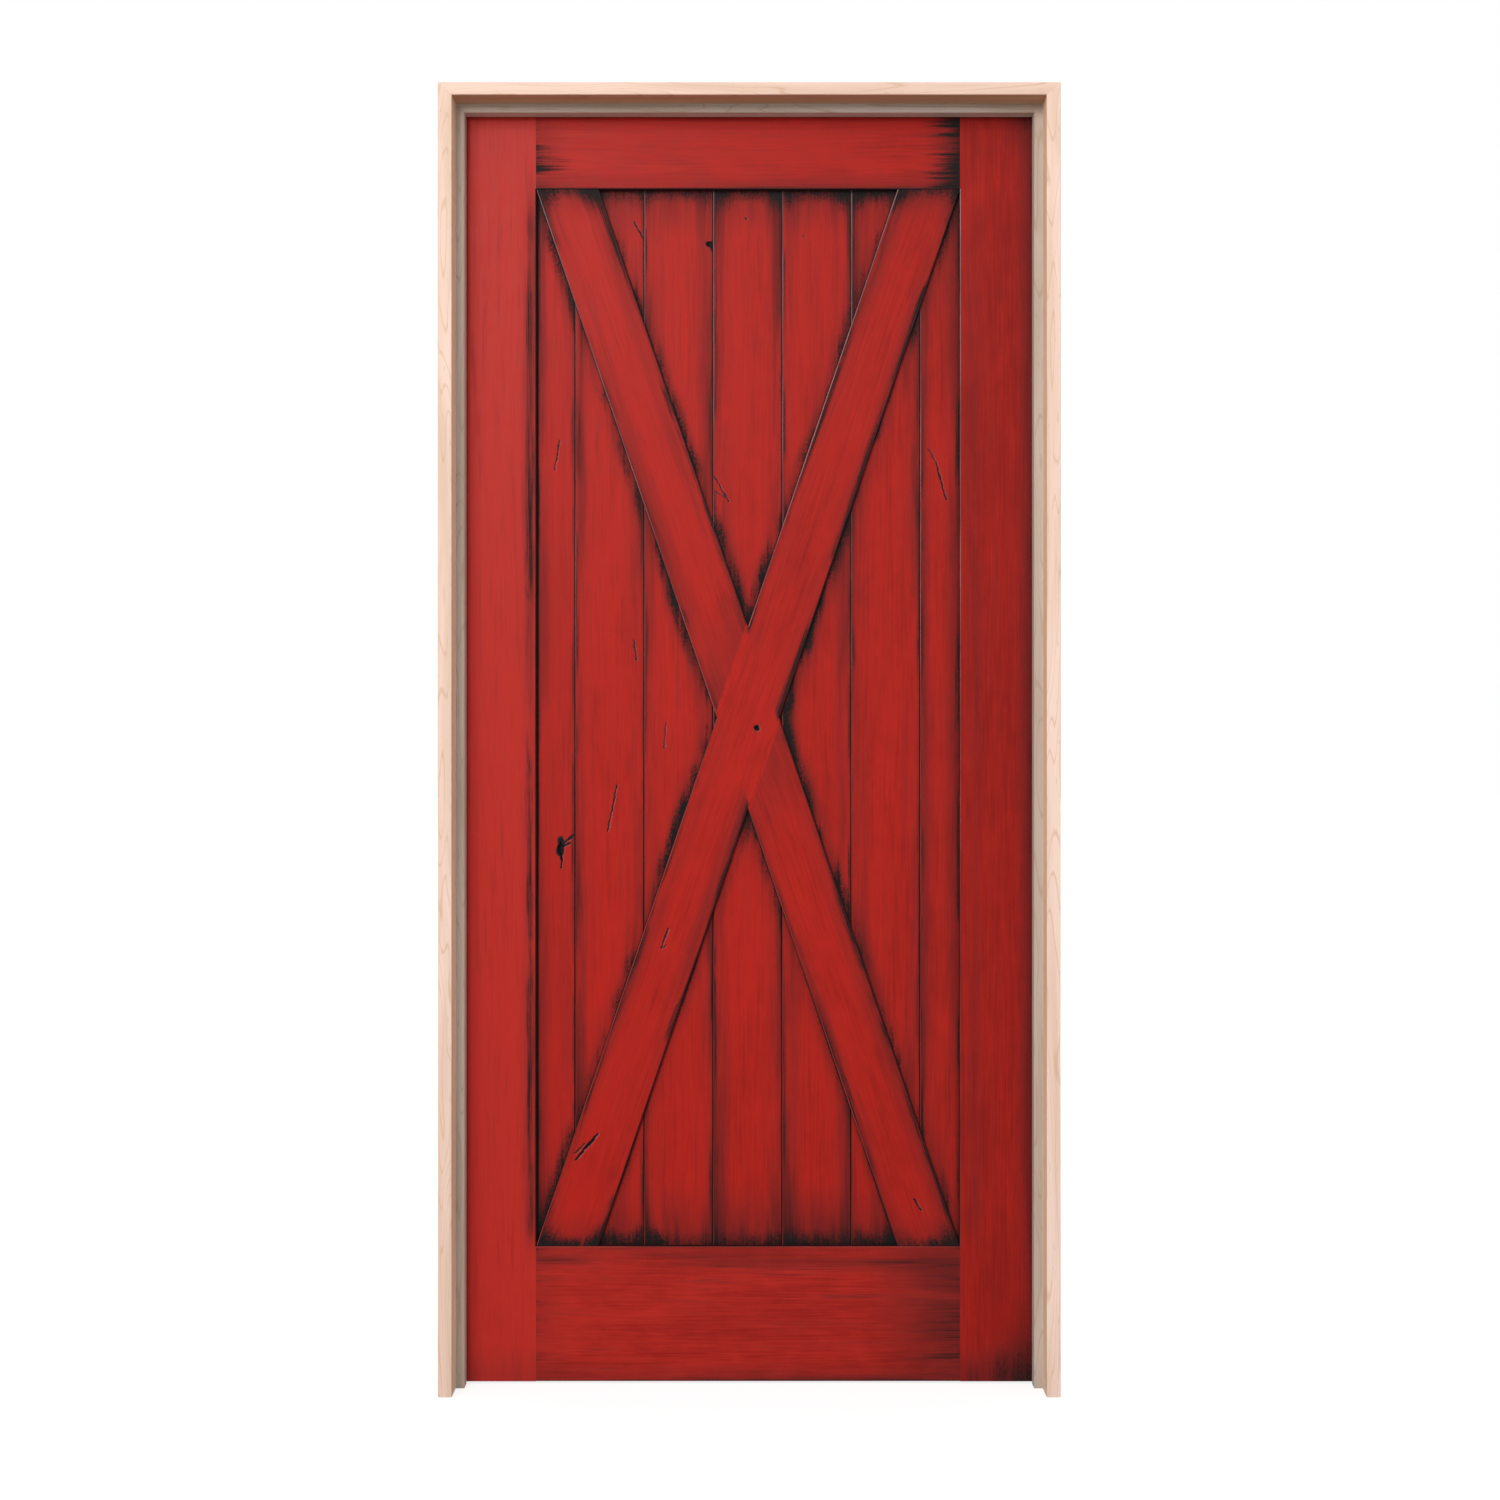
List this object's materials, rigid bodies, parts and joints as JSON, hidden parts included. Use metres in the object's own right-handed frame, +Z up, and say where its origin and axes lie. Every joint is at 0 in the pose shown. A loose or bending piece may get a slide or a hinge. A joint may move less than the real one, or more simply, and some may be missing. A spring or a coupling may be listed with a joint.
{
  "type": "barn-style door",
  "caption": "Braced plank door in rustic red with dark glaze, hung on butt hinges in a pale mitred wood frame with stops; the leaf swings away from the stops.",
  "frame": {"origin": "on the floor under the middle of the frame, half way through the whole depth from the jamb's front edge to the back of the hinge barrels", "axes": "+X across the doorway from the hinge side to the lock side, +Y from the stop side to the side the leaf opens to, +Z up"},
  "size_m": [0.963, 0.1351, 2.033],
  "materials": {
    "leaf_red": "brushed red paint with a dark glaze rubbed into edges, joints and grain",
    "plank_red": "brushed red paint with a dark glaze rubbed into edges, grooves and grain",
    "brace_red": "brushed red paint with a dark glaze rubbed into edges, ends and grain",
    "frame_wood": "pale close-grained wood, sanded and left matt",
    "hinge_bronze": "dark rubbed bronze on steel",
    "screw_steel": "bright zinc"
  },
  "bodies": {
    "frame": {"jamb_hinge": "frame_wood", "jamb_lock": "frame_wood", "head_jamb": "frame_wood", "stop_hinge": "frame_wood", "stop_lock": "frame_wood", "stop_head": "frame_wood", "corner_screws": "screw_steel", "hinge_1_jamb_leaf": "hinge_bronze", "hinge_1_pin": "hinge_bronze", "hinge_2_jamb_leaf": "hinge_bronze", "hinge_2_pin": "hinge_bronze", "hinge_3_jamb_leaf": "hinge_bronze", "hinge_3_pin": "hinge_bronze", "hinge_screws_jamb": "hinge_bronze"},
    "leaf": {"stile_hinge": "leaf_red", "stile_lock": "leaf_red", "top_rail": "leaf_red", "bottom_rail": "leaf_red", "plank_1": "plank_red", "plank_2": "plank_red", "plank_3": "plank_red", "plank_4": "plank_red", "plank_5": "plank_red", "plank_6": "plank_red", "plank_7": "plank_red", "brace_through": "brace_red", "brace_upper": "brace_red", "brace_lower": "brace_red", "hinge_1_door_leaf": "hinge_bronze", "hinge_2_door_leaf": "hinge_bronze", "hinge_3_door_leaf": "hinge_bronze", "hinge_screws_door": "hinge_bronze"}
  },
  "joints": [
    {"name": "door_swing", "type": "hinge", "parent": "frame", "child": "leaf", "pos_m": [-0.4585, 0.06105, 1.005], "axis": [0, 0, 1], "range_deg": [0, 180]}
  ]
}
